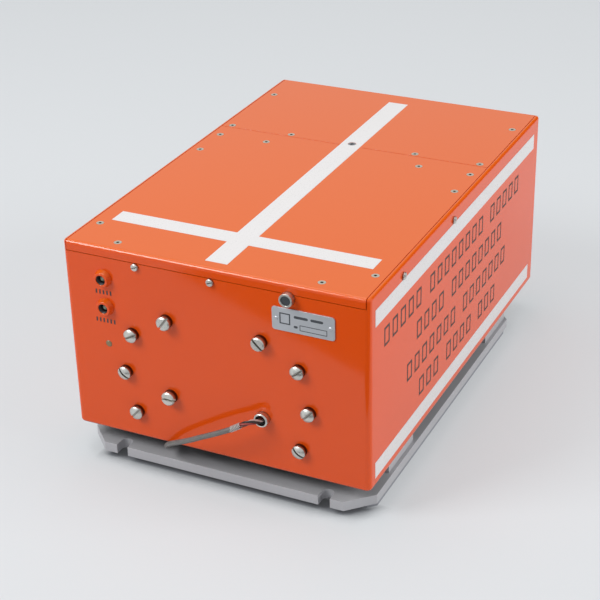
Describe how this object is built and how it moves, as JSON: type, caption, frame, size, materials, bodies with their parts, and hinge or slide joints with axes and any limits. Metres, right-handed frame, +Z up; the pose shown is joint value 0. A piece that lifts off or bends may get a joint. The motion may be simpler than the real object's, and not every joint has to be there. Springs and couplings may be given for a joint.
{
  "type": "flight data recorder",
  "caption": "Orange painted box-shaped flight data recorder with flush lids, white stripes, front lamps, slotted screws and a short sleeved lead, on a notched grey mounting plate.",
  "frame": {"origin": "middle of the mounting plate's underside", "axes": "+Z up, +Y from the front panel to the rear connector, +X to the right seen from the front"},
  "size_m": [0.2392, 0.3929, 0.1717],
  "materials": {
    "orange_paint": "gloss enamel",
    "grey_paint": "satin enamel",
    "white_film": "reflective film",
    "bright_steel": "plated",
    "dark_steel": "blackened",
    "aluminium": "machined",
    "rubber": "matt",
    "mastic": "pressed seal",
    "black_plastic": "moulded",
    "lens": "frosted",
    "circuit_board": "lacquered",
    "insulation": "pressed fibre",
    "braided_sleeve": "woven"
  },
  "bodies": {
    "root": {"base_plate": "grey_paint", "spacer_pads": "grey_paint", "base_screws": "bright_steel", "case_body": "orange_paint", "left_rail": "aluminium", "right_rail": "aluminium", "rail_screws": "bright_steel", "front_bar": "aluminium", "lip_screws": "bright_steel", "seam_bar": "aluminium", "front_lid": "orange_paint", "rear_lid": "orange_paint", "front_lid_screws": "bright_steel", "rear_lid_screws": "bright_steel", "seam_screw": "dark_steel", "top_marking": "white_film", "right_marking": "white_film", "left_marking": "white_film", "capsule_body": "dark_steel", "capsule_cap": "dark_steel", "capsule_cap_screws": "bright_steel", "insulation_cup": "insulation", "insulation_plug": "insulation", "memory_canister": "bright_steel", "ring_screws": "bright_steel", "clamp_screws": "bright_steel", "lead_gland": "bright_steel", "gland_bush": "rubber", "lead": "braided_sleeve", "lead_grommet": "rubber", "lead_terminal": "black_plastic", "seal_cup": "bright_steel", "seal_mastic": "mastic", "nameplate": "aluminium", "nameplate_rivets": "aluminium", "lamp_bezels": "orange_paint", "lamps": "lens", "pilot_lamp": "lens", "lamp_board": "circuit_board", "board_tray": "aluminium", "tray_screws": "bright_steel", "power_board": "circuit_board", "processor_board": "circuit_board", "interface_board": "circuit_board", "board_spacers": "bright_steel", "board_screws": "bright_steel", "rear_connector": "dark_steel", "connector_insert": "black_plastic", "connector_gasket": "rubber", "connector_screws": "bright_steel", "bonding_stud": "bright_steel", "bonding_nut": "bright_steel"}
  },
  "joints": []
}
